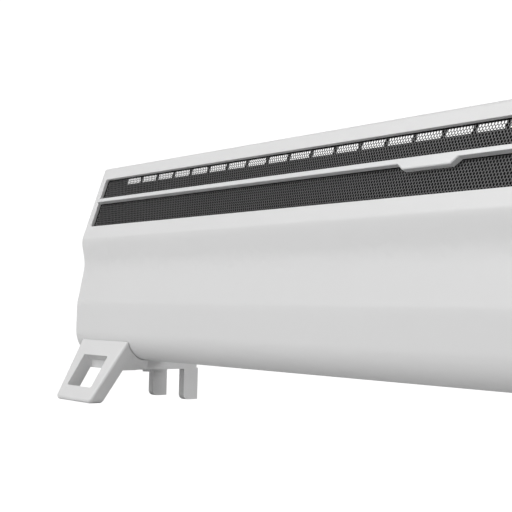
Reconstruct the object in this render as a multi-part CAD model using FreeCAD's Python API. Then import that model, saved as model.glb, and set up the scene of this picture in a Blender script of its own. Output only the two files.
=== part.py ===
import FreeCAD
import Part
import math
import os

# A low plinth convector on two feet: bent sheet body, inclined outlet grille, finned element.
# Millimetres. X runs along the heater, +Y to the back, +Z up. While the pieces are made, Y is the
# depth behind the lower front face. save() shifts it, so that the origin is on the floor, midway
# between the heels and the line where the legs' front faces would meet the floor.

# Driving dimensions
BODY_LENGTH = 1024.0
BODY_DEPTH = 58.0
BODY_TOP = 268.0
BODY_BOTTOM = 46.0
SHEET = 1.2
TOE_REACH = 40.0
HEEL_REACH = 105.5
GRILLE_TILT = 18.5
WINDOW_LENGTH = 1004.0
WINDOW_LOW = 197.0
WINDOW_HIGH = 254.0
FOOT_CENTRE = 450.0
VENT_COUNT = 31
VENT_PITCH = 32.4

# Body outline
CREASE_Z = 183.0
CREASE_DEPTH = 4.6
TOP_RADIUS = 5.0
BELLY_RADIUS = 30.0
BELLY_TOP = 98.0

# Grille and trim, measured square to the inclined face
FRAME_DEPTH = 4.0
FRAME_WALL = 1.0
FRAME_CORNER = 2.5
GRILLE_THICK = 0.8
GRILLE_LAP = 2.5
TRIM_PROUD = 2.4
TRIM_LOW = -0.6
TRIM_HIGH = 4.2
TRIM_TAB_DROP = 5.6
TRIM_TAB_HALF = 25.0
TRIM_TAB_SLOPE = 8.0
TRIM_TAB_BEVEL = 0.8
TRIM_CLIP_XS = (-450.0, -300.0, -150.0, 0.0, 150.0, 300.0, 450.0)
POST = 3.0

# Rear panel
VENT_LOW = 251.0
VENT_HIGH = 257.6
VENT_RIB = 4.2
VENT_LEAN = 2.6
INLET_SLOT_COUNT = 25
INLET_SLOT_PITCH = 30.0
INLET_SLOT = (22.0, 3.0)
INLET_ROWS = (60.0, 68.0, 76.0)
HANG_X = 300.0
HANG_ZS = (95.0, 215.0)
HANG_HOLE_R = 3.2

# Bottom inlet
INLET_HALF = 386.0
INLET_NEAR = 33.0
INLET_FAR = 52.0
GUARD_THICK = 0.8
GUARD_LAP = 5.0
GUARD_PITCH = 12.0
GUARD_SLOT = 8.0

# End caps
CAP_FACE = BODY_LENGTH / 2 - 1.5
CAP_PLATE = 2.5
CAP_RIM = 3.0
CAP_RIM_WALL = 2.0
CAP_GAP = 0.1
BOSS = 10.0
BOSS_ZS = (58.0, 184.0, 236.0)
PILOT_R = 1.5
SCREW_CLEAR_R = 1.8
REAR_SCREW_X = 502.0
END_SCREW = (503.0, 40.0)

# Heating element
ELEMENT_Y = 29.0
ELEMENT_Z = 118.0
TUBE_R = 4.0
TUBE_LEFT = -452.0
TUBE_RIGHT = 416.0
FIN_SIZE = (30.0, 44.0)
FIN_THICK = 0.8
FIN_PITCH = 12.0
FIN_COUNT = 68
BRACKET_XS = (-436.0, 400.0)
BRACKET_THICK = 1.5
BRACKET_FLANGE = 12.0
BRACKET_Z = (92.0, 150.0)
BUSH_R = 7.0
SHIELD_Y = 52.0
SHIELD_THICK = 0.6
SHIELD_Z = (88.0, 246.0)
SHIELD_X = (-495.0, 434.0)
SHIELD_LIP = 8.0
BAFFLE_Y = 10.0
CUTOUT_SPOT = (360.0, 190.0)
BULKHEAD_X = 436.0
BULKHEAD_Z = (54.0, 173.0)
BULKHEAD_FRONT = 14.0

# Controls on the right end
FASCIA_Y = (16.0, 46.0)
FASCIA_Z = (84.0, 166.0)
FASCIA_BACK = 508.2
FASCIA_FACE = 510.8
BUTTON_R = 5.0
BUTTON_FACE = 511.8
RUN_CLEAR = 0.05
BUTTONS = {
    "power_button": (31.0, 118.0),
    "mode_button": (23.5, 104.0),
    "timer_button": (38.5, 104.0),
    "minus_button": (23.5, 91.5),
    "plus_button": (38.5, 91.5),
}
DISPLAY_Y = (21.0, 41.0)
DISPLAY_Z = (128.0, 158.0)
ROCKER_Y = 34.0
ROCKER_Z = 66.0
ROCKER_X = 506.5
ROCKER_TILT = 7.0
ROCKER_CASE = (11.0, 7.5)
ROCKER_PIN_R = 1.0
FASCIA_GAP = 0.15
HOUSING = ((468.0, 505.8), (13.0, 49.0), (78.0, 176.0))
HOUSING_WALL = 1.6
BOARD_X = 473.0
BOARD_THICK = 1.6
BOARD_Y = (15.0, 47.0)
BOARD_Z = (80.0, 174.0)
DISPLAY_BACK = 502.0
BUTTON_BOARD = ((497.0, 498.4), (17.0, 45.0), (84.0, 124.0))
STEM_END = 501.0
LEAD_HOLE = (40.0, 86.0)
WIRE_HOLE = (20.0, 70.0)
BLADE_THICK = 0.8
BLADE_HIGH = 6.2
BLOCK = ((442.0, 460.0), (36.0, 52.0), (96.0, 118.0))
WIRE_R = 1.1

# Tip-over cut-out
TIP_X = (406.0, 424.0)
TIP_Y = 40.0
TIP_TOP = 84.0
TIP_PIN_Z = 80.0
TIP_PIN_R = 1.0

# Cord
CORD_R = 3.1
GLAND_X = 470.0
GLAND_Z = 72.0
GLAND_HOLE_R = 7.0
COIL_X = 330.0
COIL_Z = 102.0
COIL_HALF = 48.0
COIL_R = 30.0
COIL_START = 61.0
COIL_WIDTH = 31.0
PLUG_START = 240.0
PLUG_NECK = 14.0
PLUG_GRIP = 12.0
PLUG_DISC = 12.0
PLUG_R = 16.5
PIN_LONG = 27.0
PIN_R = 2.4
PIN_SPACING = 19.0

# Feet
TOE_HALF = 36.0
LEG_HALF = 48.0
LEG_TOP = 66.0
LEG_THICK = 15.0
BAR_HALF = 35.5
BAR_LOW = 35.0
TAB_THICK = 9.5
TAB_DEPTH = 19.5
TAB_RADIUS = 6.0
BAR_RADIUS = 4.0
TOE_RADIUS = 5.0
LEG_RADIUS = 3.0
LEG_GAP = 0.7
LOOP_STRIP = 19.0
LOOP_HALF = 25.0
LOOP_RADIUS = 2.5
FOOT_SCREW_SPREAD = 22.0
FOOT_SCREW_Y = 44.0
FOOT_SCREW_R = 2.5
FOOT_HOLE_R = 2.55
PAD_THICK = 1.5

V = FreeCAD.Vector
HALF = BODY_LENGTH / 2
REAR_FRONT = BODY_DEPTH - SHEET
ORIGIN_SHIFT = -(HEEL_REACH - TOE_REACH) / 2
TILT = math.radians(GRILLE_TILT)
WINDOW_MID = (WINDOW_LOW + WINDOW_HIGH) / 2
WINDOW_HALF = (WINDOW_HIGH - WINDOW_LOW) / 2 / math.cos(TILT)


def save(name, *solids):
    """Writes the piece, moved from bench depth to the part's own frame."""
    shape = solids[0] if len(solids) == 1 else Part.makeCompound(list(solids))
    shape = shape.copy()
    shape.translate(V(0, ORIGIN_SHIFT, 0))
    shape.exportStep("parts/" + name + ".step")


def box(xs, ys, zs):
    return Part.makeBox(xs[1] - xs[0], ys[1] - ys[0], zs[1] - zs[0], V(xs[0], ys[0], zs[0]))


def rod(radius, start, direction, length):
    return Part.makeCylinder(radius, length, V(*start), V(*direction))


def prism(points, axis, start, length):
    """A straight solid whose outline is given across one axis: X takes (y, z), Y takes (x, z)."""
    if axis == "X":
        corners = [V(start, a, b) for a, b in points]
        sweep = V(length, 0, 0)
    else:
        corners = [V(a, start, b) for a, b in points]
        sweep = V(0, length, 0)
    return Part.Face(Part.makePolygon(corners + corners[:1])).extrude(sweep)


def cable(points, radius):
    """A round cable along straight runs, with a ball at each corner."""
    runs = []
    for start, end in zip(points, points[1:]):
        way = end - start
        runs.append(Part.makeCylinder(radius, way.Length, start, way))
    balls = [Part.makeSphere(radius, point) for point in points[1:-1]]
    return runs[0].multiFuse(runs[1:] + balls)


def grown(spot, reach):
    """Two spans centred on a two-value spot."""
    return [(value - reach, value + reach) for value in spot]


def mirrored(shape):
    return shape.mirror(V(0, 0, 0), V(1, 0, 0))


def slope_depth(z):
    """Depth of the inclined outlet face at height z."""
    return CREASE_DEPTH + (z - CREASE_Z) * math.tan(TILT)


def on_slope(shape):
    """Places a shape made flat (x along, y into the body, z up the face) on the inclined face."""
    spot = V(0, slope_depth(WINDOW_MID), WINDOW_MID)
    shape.Placement = FreeCAD.Placement(spot, FreeCAD.Rotation(V(1, 0, 0), -GRILLE_TILT))
    return shape


def front_curve(inset):
    """Soft crease, recess and belly of the front as one curve, drawn in by inset."""
    nose = V(0, CREASE_DEPTH, CREASE_Z)
    recess = [V(0, 4.2, 178.5), V(0, 7.9, 157.0), V(0, 4.6, 130.0), V(0, 0.9, 111.0)]
    points = [nose] + recess + [V(0, 0, BELLY_TOP)]
    tangents = (V(0, -math.sin(TILT), -math.cos(TILT)), V(0, 0, -1))
    curve = Part.BSplineCurve()
    curve.interpolate(Points=points, InitialTangent=tangents[0], FinalTangent=tangents[1])
    if not inset:
        return curve
    moved = []
    for point in points:
        along = curve.tangent(curve.parameter(point))[0]
        moved.append(point + V(0, -along.z, along.y) * inset)
    inner = Part.BSplineCurve()
    inner.interpolate(Points=moved, InitialTangent=tangents[0], FinalTangent=tangents[1])
    return inner


def outline(inset=0.0):
    """The body's closed cross-section, drawn in at every side by inset."""
    top, bottom, rear = BODY_TOP - inset, BODY_BOTTOM + inset, BODY_DEPTH - inset
    top_front = V(0, slope_depth(top) + inset / math.cos(TILT), top)
    radius = TOP_RADIUS - inset
    bend = radius * math.tan((math.pi / 2 - TILT) / 2)
    down = V(0, -math.sin(TILT), -math.cos(TILT))
    on_top = top_front + V(0, bend, 0)
    on_slope_top = top_front + down * bend
    centre = on_top + V(0, 0, -radius)
    towards = (top_front - centre).normalize()
    curve = front_curve(inset)
    belly = V(0, inset, BELLY_TOP)
    hub = BODY_BOTTOM + BELLY_RADIUS
    reach = BELLY_RADIUS - inset
    arc_start = V(0, inset, hub)
    arc_mid = V(0, BELLY_RADIUS - reach * math.sqrt(0.5), hub - reach * math.sqrt(0.5))
    arc_end = V(0, BELLY_RADIUS, bottom)
    edges = [
        Part.makeLine(V(0, rear, top), on_top),
        Part.Arc(on_top, centre + towards * radius, on_slope_top).toShape(),
        Part.makeLine(on_slope_top, curve.StartPoint),
        curve.toShape(),
        Part.makeLine(belly, arc_start),
        Part.Arc(arc_start, arc_mid, arc_end).toShape(),
        Part.makeLine(arc_end, V(0, rear, bottom)),
        Part.makeLine(V(0, rear, bottom), V(0, rear, top)),
    ]
    return Part.Face(Part.Wire(edges))


def body_prism(inset, x_start, x_end):
    face = outline(inset)
    face.translate(V(x_start, 0, 0))
    return face.extrude(V(x_end - x_start, 0, 0))


def window_plug(grow, near, far):
    """A round-cornered block the shape of the outlet window, from depth near to depth far."""
    half_x = WINDOW_LENGTH / 2 + grow
    half_z = WINDOW_HALF + grow
    block = box((-half_x, half_x), (near, far), (-half_z, half_z))
    upright = [e for e in block.Edges if abs(e.tangentAt(e.FirstParameter).y) > 0.9]
    return block.makeFillet(FRAME_CORNER + grow, upright)


def trim_post(x, size, near, far):
    middle = (TRIM_LOW + TRIM_HIGH) / 2
    return box((x - size / 2, x + size / 2), (near, far), (middle - size / 2, middle + size / 2))


def foot_screw_spots():
    centres = (-FOOT_CENTRE, FOOT_CENTRE)
    return [(x + dx, FOOT_SCREW_Y) for x in centres for dx in (-FOOT_SCREW_SPREAD, FOOT_SCREW_SPREAD)]


def front_panel():
    shell = body_prism(0, -HALF, HALF).cut(body_prism(SHEET, -HALF - 1, HALF + 1))
    shell = shell.cut(box((-HALF - 1, HALF + 1), (REAR_FRONT, BODY_DEPTH + 1), (0, BODY_TOP + 1)))
    frame = window_plug(FRAME_WALL, 0, FRAME_DEPTH)
    shell = shell.fuse(on_slope(frame)).cut(on_slope(window_plug(0, -3, FRAME_DEPTH + 1)))
    bottom = (BODY_BOTTOM - 1, BODY_BOTTOM + SHEET + 0.5)
    shell = shell.cut(box((-INLET_HALF, INLET_HALF), (INLET_NEAR, INLET_FAR), bottom))
    holes = [rod(FOOT_HOLE_R, (x, y, bottom[0]), (0, 0, 1), 3) for x, y in foot_screw_spots()]
    for side in (-1, 1):
        holes.append(rod(SCREW_CLEAR_R, (side * END_SCREW[0], END_SCREW[1], bottom[0]), (0, 0, 1), 3))
    return shell.cut(Part.makeCompound(holes)).removeSplitter()


def slot_cut(x, z, length, height, lean=0.0):
    """Slot through the rear panel; lean is how far its upper edge stands along X from its lower."""
    corners = []
    for along, up in ((-1, -1), (1, -1), (1, 1), (-1, 1)):
        corners.append((x + (along * length + up * lean) / 2, z + up * height / 2))
    return prism(corners, "Y", REAR_FRONT - 1, SHEET + 2)


def rear_screw_spots():
    return [(side * REAR_SCREW_X, z) for side in (-1, 1) for z in BOSS_ZS]


def rear_panel():
    panel = box((-HALF, HALF), (REAR_FRONT, BODY_DEPTH), (BODY_BOTTOM, BODY_TOP))
    first = -(VENT_COUNT - 1) / 2 * VENT_PITCH
    middle = (VENT_LOW + VENT_HIGH) / 2
    size = (VENT_PITCH - VENT_RIB, VENT_HIGH - VENT_LOW)
    cuts = [slot_cut(first + i * VENT_PITCH, middle, *size, VENT_LEAN) for i in range(VENT_COUNT)]
    inlet_start = -(INLET_SLOT_COUNT - 0.5) / 2 * INLET_SLOT_PITCH
    for row, z in enumerate(INLET_ROWS):
        start = inlet_start + INLET_SLOT_PITCH / 2 * (row % 2)
        cuts += [slot_cut(start + INLET_SLOT_PITCH * i, z, *INLET_SLOT) for i in range(INLET_SLOT_COUNT)]
    holes = [(x, z, HANG_HOLE_R) for x in (-HANG_X, HANG_X) for z in HANG_ZS]
    holes += [(x, z, SCREW_CLEAR_R) for x, z in rear_screw_spots()]
    holes.append((GLAND_X, GLAND_Z, GLAND_HOLE_R))
    cuts += [rod(r, (x, REAR_FRONT - 1, z), (0, 1, 0), SHEET + 2) for x, z, r in holes]
    return panel.cut(Part.makeCompound(cuts))


def end_cap(side):
    """Moulded plug for one end: plate, inward rim and screw bosses. The right one holds controls."""
    inset = SHEET + CAP_GAP
    inner = CAP_FACE - CAP_PLATE
    cap = body_prism(inset, inner - CAP_RIM, CAP_FACE)
    cap = cap.cut(body_prism(inset + CAP_RIM_WALL, inner - CAP_RIM - 1, inner))
    cap = cap.cut(box((0, HALF), (REAR_FRONT - CAP_GAP, BODY_DEPTH), (0, BODY_TOP)))
    back = REAR_FRONT - CAP_GAP
    low = BODY_BOTTOM + inset
    pilot = BOSS - 2
    for z in BOSS_ZS:
        spans = grown((REAR_SCREW_X, z), BOSS / 2)
        cap = cap.fuse(box((spans[0][0], inner + 0.1), (back - BOSS, back), spans[1]))
        cap = cap.cut(rod(PILOT_R, (REAR_SCREW_X, back - pilot, z), (0, 1, 0), pilot + 1))
    spans = grown(END_SCREW, BOSS / 2)
    cap = cap.fuse(box((spans[0][0], inner + 0.1), spans[1], (low, low + BOSS)))
    cap = cap.cut(rod(PILOT_R, (*END_SCREW, low - 1), (0, 0, 1), pilot + 1))
    if side < 0:
        return mirrored(cap)
    opening = [(span[0] - FASCIA_GAP, span[1] + FASCIA_GAP) for span in (FASCIA_Y, FASCIA_Z)]
    cap = cap.cut(box((CAP_FACE - 30, HALF), *opening))
    well = [(span[0] - FASCIA_GAP, span[1] + FASCIA_GAP) for span in rocker_spans()]
    return cap.cut(box((CAP_FACE - 20, HALF), *well))


def outlet_grille():
    half_x = WINDOW_LENGTH / 2 + GRILLE_LAP
    half_z = WINDOW_HALF + GRILLE_LAP
    sheet = box((-half_x, half_x), (FRAME_DEPTH, FRAME_DEPTH + GRILLE_THICK), (-half_z, half_z))
    cuts = [trim_post(x, POST + 0.4, 0, 10) for x in TRIM_CLIP_XS]
    return on_slope(sheet.cut(Part.makeCompound(cuts)))


def grille_retainers():
    """Two strips that clamp the grille's long edges from behind."""
    half_x = WINDOW_LENGTH / 2
    near = FRAME_DEPTH + GRILLE_THICK
    edge = WINDOW_HALF + GRILLE_LAP
    wide, thick = 2.2, 1.5
    strips = []
    for low, high in ((edge - wide, edge), (-edge, -edge + wide)):
        strips.append(on_slope(box((-half_x, half_x), (near, near + thick), (low, high))))
    return strips


def trim_bar():
    """Raised bar with a central drop-down tab bevelled at its rim; posts pass the grille."""
    half = WINDOW_LENGTH / 2 - 0.2
    near = -TRIM_PROUD
    back = FRAME_DEPTH - 0.1
    bevel = 0.4
    section = [
        (near + bevel, TRIM_HIGH),
        (near, TRIM_HIGH - bevel),
        (near, TRIM_LOW + bevel),
        (near + bevel, TRIM_LOW),
        (back, TRIM_LOW),
        (back, TRIM_HIGH),
    ]
    bar = prism(section, "X", -half, 2 * half)
    low = TRIM_LOW - TRIM_TAB_DROP
    wide = TRIM_TAB_HALF + TRIM_TAB_SLOPE
    root = TRIM_LOW + 1
    tab_outline = [(-wide, root), (wide, root), (TRIM_TAB_HALF, low), (-TRIM_TAB_HALF, low)]
    tab = prism(tab_outline, "Y", near, back - near)
    front = [e for e in tab.Edges if e.CenterOfMass.y < near + 0.01 and e.CenterOfMass.z < TRIM_LOW]
    tab = tab.makeChamfer(TRIM_TAB_BEVEL, front)
    posts = [trim_post(x, POST, back - 0.5, back + 4.0) for x in TRIM_CLIP_XS]
    return on_slope(bar.multiFuse([tab] + posts).removeSplitter())


def trim_clips():
    """Push-on plates behind the grille that hold the trim posts."""
    near = FRAME_DEPTH + GRILLE_THICK
    half, thick = 5.0, 1.5
    clips = []
    for x in TRIM_CLIP_XS:
        plate = box((x - half, x + half), (near, near + thick), (TRIM_LOW - 1.4, TRIM_HIGH + 1.4))
        clips.append(on_slope(plate.cut(trim_post(x, POST + 0.1, near - 1, near + 3))))
    return clips


def inlet_guard():
    """Slotted plate over the bottom air inlet."""
    low = BODY_BOTTOM + SHEET
    half = INLET_HALF + GUARD_LAP
    sheet = box((-half, half), (INLET_NEAR - 2, INLET_FAR + 3), (low, low + GUARD_THICK))
    count = int(2 * INLET_HALF / GUARD_PITCH) - 1
    first = -(count - 1) / 2 * GUARD_PITCH
    cuts = []
    for i in range(count):
        x = first + i * GUARD_PITCH
        span = (x - GUARD_SLOT / 2, x + GUARD_SLOT / 2)
        cuts.append(box(span, (INLET_NEAR + 1, INLET_FAR - 1), (low - 1, low + GUARD_THICK + 1)))
    return sheet.cut(Part.makeCompound(cuts))


def heat_shield():
    """Flat reflector between element and rear panel, with a folded lower lip."""
    low = SHIELD_Z[0]
    sheet = box(SHIELD_X, (SHIELD_Y, SHIELD_Y + SHIELD_THICK), SHIELD_Z)
    lip = box(SHIELD_X, (SHIELD_Y - SHIELD_LIP, SHIELD_Y + SHIELD_THICK), (low, low + SHIELD_THICK))
    return sheet.fuse(lip).removeSplitter()


def shield_standoffs():
    start = SHIELD_Y + SHIELD_THICK
    radius = 4.0
    spots = [(x, z) for x in (-400.0, -200.0, 0.0, 200.0, 380.0) for z in (162.0, 236.0)]
    return [rod(radius, (x, start, z), (0, 1, 0), REAR_FRONT - start) for x, z in spots]


def front_baffle():
    """Sheet that keeps the hot air off the front panel."""
    return box(BRACKET_XS, (BAFFLE_Y, BAFFLE_Y + SHIELD_THICK), (BRACKET_Z[0], CREASE_Z - 11))


def element_fins():
    first = (BRACKET_XS[0] + BRACKET_XS[1] - (FIN_COUNT - 1) * FIN_PITCH) / 2
    ys = (ELEMENT_Y - FIN_SIZE[0] / 2, ELEMENT_Y + FIN_SIZE[0] / 2)
    zs = (ELEMENT_Z - FIN_SIZE[1] / 2, ELEMENT_Z + FIN_SIZE[1] / 2)
    fins = []
    for i in range(FIN_COUNT):
        x = first + i * FIN_PITCH
        fin = box((x - FIN_THICK / 2, x + FIN_THICK / 2), ys, zs)
        fins.append(fin.cut(rod(TUBE_R + 0.02, (x - 2, ELEMENT_Y, ELEMENT_Z), (1, 0, 0), 4)))
    return fins


def element_bracket(x):
    """Upright plate with a folded flange against the shield and a hole for the ceramic bush."""
    plate = box((x, x + BRACKET_THICK), (BAFFLE_Y + SHIELD_THICK, SHIELD_Y), BRACKET_Z)
    flange = box((x, x + BRACKET_FLANGE), (SHIELD_Y - BRACKET_THICK, SHIELD_Y), BRACKET_Z)
    hole = rod(BUSH_R + 0.05, (x - 1, ELEMENT_Y, ELEMENT_Z), (1, 0, 0), 4)
    return plate.fuse(flange).cut(hole).removeSplitter()


def element_insulators():
    """Ceramic bush with a collar, one in each bracket."""
    inward, length, collar_start, collar_long = 2.5, 10.0, 4.0, 3.0
    bushes = []
    for x, out in ((BRACKET_XS[0] + BRACKET_THICK, -1), (BRACKET_XS[1], 1)):
        body = rod(BUSH_R, (x - out * inward, ELEMENT_Y, ELEMENT_Z), (out, 0, 0), length)
        collar_x = x + out * collar_start
        collar = rod(BUSH_R + 3, (collar_x, ELEMENT_Y, ELEMENT_Z), (out, 0, 0), collar_long)
        bore = rod(TUBE_R + 0.03, (x - out * 5, ELEMENT_Y, ELEMENT_Z), (out, 0, 0), 2 * length)
        bushes.append(body.fuse(collar).cut(bore))
    return bushes


def element_terminals():
    """Stud and flat blade at each end of the element."""
    stud_r, stud_long, blade_long = 1.6, 6.0, 9.0
    blades = []
    for x, out in ((TUBE_LEFT, -1), (TUBE_RIGHT, 1)):
        stud = rod(stud_r, (x, ELEMENT_Y, ELEMENT_Z), (out, 0, 0), stud_long)
        start = x + out * (stud_long - 1)
        ends = sorted((start, start + out * blade_long))
        blades.append(stud.fuse(blade(ends, ELEMENT_Y, ELEMENT_Z)))
    return blades


def blade(xs, y, z):
    """Flat push-on terminal along X, 6.2 mm high."""
    return box(xs, (y - BLADE_THICK / 2, y + BLADE_THICK / 2), (z - BLADE_HIGH / 2, z + BLADE_HIGH / 2))


def thermal_cutout():
    """Round thermostat on the shield with two ears and two terminals."""
    x, z = CUTOUT_SPOT
    base_r, base_long, neck_r, neck_long = 8.0, 7.0, 6.0, 3.0
    can = rod(base_r, (x, SHIELD_Y, z), (0, -1, 0), base_long)
    can = can.fuse(rod(neck_r, (x, SHIELD_Y - base_long, z), (0, -1, 0), neck_long))
    ears = box((x - 2 * base_r, x + 2 * base_r), (SHIELD_Y - 1, SHIELD_Y), (z - 4, z + 4))
    front = SHIELD_Y - base_long - neck_long
    span_z = (z - BLADE_HIGH / 2, z + BLADE_HIGH / 2)
    terminals = []
    for spot in (x - 4, x + 4):
        span_x = (spot - BLADE_THICK / 2, spot + BLADE_THICK / 2)
        terminals.append(box(span_x, (front - 8, front + 1), span_z))
    return can.multiFuse([ears] + terminals)


def bulkhead():
    """Plate between the heating chamber and the controls, with a hole for the wires."""
    plate = box((BULKHEAD_X, BULKHEAD_X + 1), (BULKHEAD_FRONT, REAR_FRONT - 0.2), BULKHEAD_Z)
    return plate.cut(rod(4, (BULKHEAD_X - 1, *WIRE_HOLE), (1, 0, 0), 3))


def control_housing():
    """Open box that carries the boards, with a hole for the leads."""
    xs, ys, zs = HOUSING
    outer = box(xs, ys, zs)
    wall = HOUSING_WALL
    inner = box((xs[0] + wall, xs[1] + 1), (ys[0] + wall, ys[1] - wall), (zs[0] + wall, zs[1] - wall))
    return outer.cut(inner).cut(rod(3.5, (xs[0] - 1, *LEAD_HOLE), (1, 0, 0), wall + 2))


def control_board():
    return box((BOARD_X, BOARD_X + BOARD_THICK), BOARD_Y, BOARD_Z)


def board_components():
    """Relay, choke, capacitor, controller and supply module on the board's face."""
    face = BOARD_X + BOARD_THICK
    relay = box((face, face + 9.4), (18, 30), (84, 104))
    choke = rod(7, (face, 38, 94), (1, 0, 0), 12)
    capacitor = rod(5, (face, 22, 120), (1, 0, 0), 14)
    controller = box((face, face + 2.4), (30, 42), (120, 132))
    supply = box((face, face + 13.4), (18, 44), (142, 164))
    return [relay, choke, capacitor, controller, supply]


def control_fascia():
    """Plate with five round button holes and the display opening."""
    plate = box((FASCIA_BACK, FASCIA_FACE), FASCIA_Y, FASCIA_Z)
    corner_edges = [e for e in plate.Edges if abs(e.tangentAt(e.FirstParameter).x) > 0.9]
    plate = plate.makeFillet(0.6, corner_edges)
    behind = FASCIA_BACK - 5
    cuts = [rod(BUTTON_R + RUN_CLEAR, (behind, y, z), (1, 0, 0), 12) for y, z in BUTTONS.values()]
    glass = [(span[0] - CAP_GAP, span[1] + CAP_GAP) for span in (DISPLAY_Y, DISPLAY_Z)]
    cuts.append(box((behind, HALF), *glass))
    return plate.cut(Part.makeCompound(cuts))


def display_window():
    return box((FASCIA_BACK + 0.8, FASCIA_FACE - 0.1), DISPLAY_Y, DISPLAY_Z)


def display_module():
    spans = [(span[0] - 1, span[1] + 1) for span in (DISPLAY_Y, DISPLAY_Z)]
    return box((DISPLAY_BACK, FASCIA_BACK), *spans)


def button_board():
    return box(*BUTTON_BOARD)


def tact_switches():
    xs = (BUTTON_BOARD[0][1], STEM_END - 0.9)
    return [box(xs, *grown(spot, 3.0)) for spot in BUTTONS.values()]


def push_button(y, z):
    """Round cap with a retaining flange behind the fascia and a stem to its switch."""
    flange_thick = 1.5
    cap_back = FASCIA_BACK - flange_thick
    cap = rod(BUTTON_R, (cap_back, y, z), (1, 0, 0), BUTTON_FACE - cap_back)
    face = [e for e in cap.Edges if e.BoundBox.XMin > BUTTON_FACE - 0.01]
    cap = cap.makeFillet(0.4, face)
    flange = rod(BUTTON_R + 0.9, (cap_back - 0.1, y, z), (1, 0, 0), flange_thick)
    stem = rod(1.6, (STEM_END, y, z), (1, 0, 0), cap_back - STEM_END + 0.5)
    return cap.multiFuse([flange, stem])


def rocker_spans(reach=0.0):
    """Outline of the switch case across depth and height, grown by reach."""
    half_y, half_z = ROCKER_CASE
    span_y = (ROCKER_Y - half_y - reach, ROCKER_Y + half_y + reach)
    return span_y, (ROCKER_Z - half_z - reach, ROCKER_Z + half_z + reach)


def rocker_housing():
    """Snap-in switch case with a lip outside the end cap and a pivot hole through both cheeks."""
    wall, lip_reach, lip_thick, case_back = 1.4, 1.5, 0.6, 492.0
    well = box((500, HALF), *rocker_spans(-wall))
    lip = box((CAP_FACE, CAP_FACE + lip_thick), *rocker_spans(lip_reach))
    shell = box((case_back, CAP_FACE + 0.1), *rocker_spans()).fuse(lip).cut(well)
    low, high = rocker_spans()[1]
    return shell.cut(rod(ROCKER_PIN_R + RUN_CLEAR, (ROCKER_X, ROCKER_Y, low), (0, 0, 1), high - low))


def rocker():
    """See-saw key on a cross pin, resting tilted to its off side."""
    reach = 9.0
    outline_points = [
        (-reach, 4.2),
        (-reach * 0.5, 3.1),
        (0.0, 2.7),
        (reach * 0.5, 3.1),
        (reach, 4.2),
        (reach, 1.6),
        (3.0, -2.4),
        (-3.0, -2.4),
        (-reach, 1.6),
    ]
    half_key, half_pin = 5.9, 7.0
    low = ROCKER_Z - half_key
    corners = [V(ROCKER_X + up, ROCKER_Y + along, low) for along, up in outline_points]
    key = Part.Face(Part.makePolygon(corners + corners[:1])).extrude(V(0, 0, 2 * half_key))
    pin = rod(ROCKER_PIN_R, (ROCKER_X, ROCKER_Y, ROCKER_Z - half_pin), (0, 0, 1), 2 * half_pin)
    shape = key.fuse(pin)
    shape.rotate(V(ROCKER_X, ROCKER_Y, ROCKER_Z), V(0, 0, 1), -ROCKER_TILT)
    return shape


def tip_over_case():
    """Closed box round the pendulum, with pockets for the ends of its pin."""
    wall = 1.5
    ys = (TIP_Y - 13, TIP_Y + 11.5)
    zs = (50.0, TIP_TOP + 4)
    outer = box(TIP_X, ys, zs)
    inner = box(*[(span[0] + wall, span[1] - wall) for span in (TIP_X, ys, zs)])
    length = TIP_X[1] - TIP_X[0] - 1
    pockets = rod(TIP_PIN_R + 0.01, (TIP_X[0] + 0.5, TIP_Y, TIP_PIN_Z), (1, 0, 0), length)
    return outer.cut(inner).cut(pockets)


def tip_over_pendulum():
    """Arm with a heavy round bob, hung on the pin."""
    middle = (TIP_X[0] + TIP_X[1]) / 2
    bob_z, bob_r, half_arm = 60.0, 5.0, 2.0
    arm = box((middle - half_arm, middle + half_arm), (TIP_Y - 2.5, TIP_Y + 2.5), (bob_z + 2, TIP_PIN_Z + 3))
    bob = rod(bob_r, (middle - bob_r, TIP_Y, bob_z), (1, 0, 0), 2 * bob_r)
    bore = rod(TIP_PIN_R + RUN_CLEAR, (middle - bob_r, TIP_Y, TIP_PIN_Z), (1, 0, 0), 2 * bob_r)
    return arm.fuse(bob).cut(bore)


def tip_over_pin():
    end_gap = 0.6
    length = TIP_X[1] - TIP_X[0] - 2 * end_gap
    return rod(TIP_PIN_R, (TIP_X[0] + end_gap, TIP_Y, TIP_PIN_Z), (1, 0, 0), length)


def room_sensor():
    """Round-ended probe that reads the incoming air."""
    radius, spot, length = 2.5, (452.0, 18.0, 60.0), 12.0
    return rod(radius, spot, (0, 0, 1), length).fuse(Part.makeSphere(radius, V(*spot)))


def block_poles():
    """Centres of the four wells, as (x, y)."""
    (x0, x1), (y0, y1), _ = BLOCK
    return [(x, y) for x in (x0 + 4.5, x1 - 4.5) for y in (y0 + 4, y1 - 5)]


def terminal_block():
    top, well_deep = BLOCK[2][1], 8.0
    wells = [rod(2.0, (x, y, top - well_deep), (0, 0, 1), well_deep + 1) for x, y in block_poles()]
    return box(*BLOCK).cut(Part.makeCompound(wells))


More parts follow.
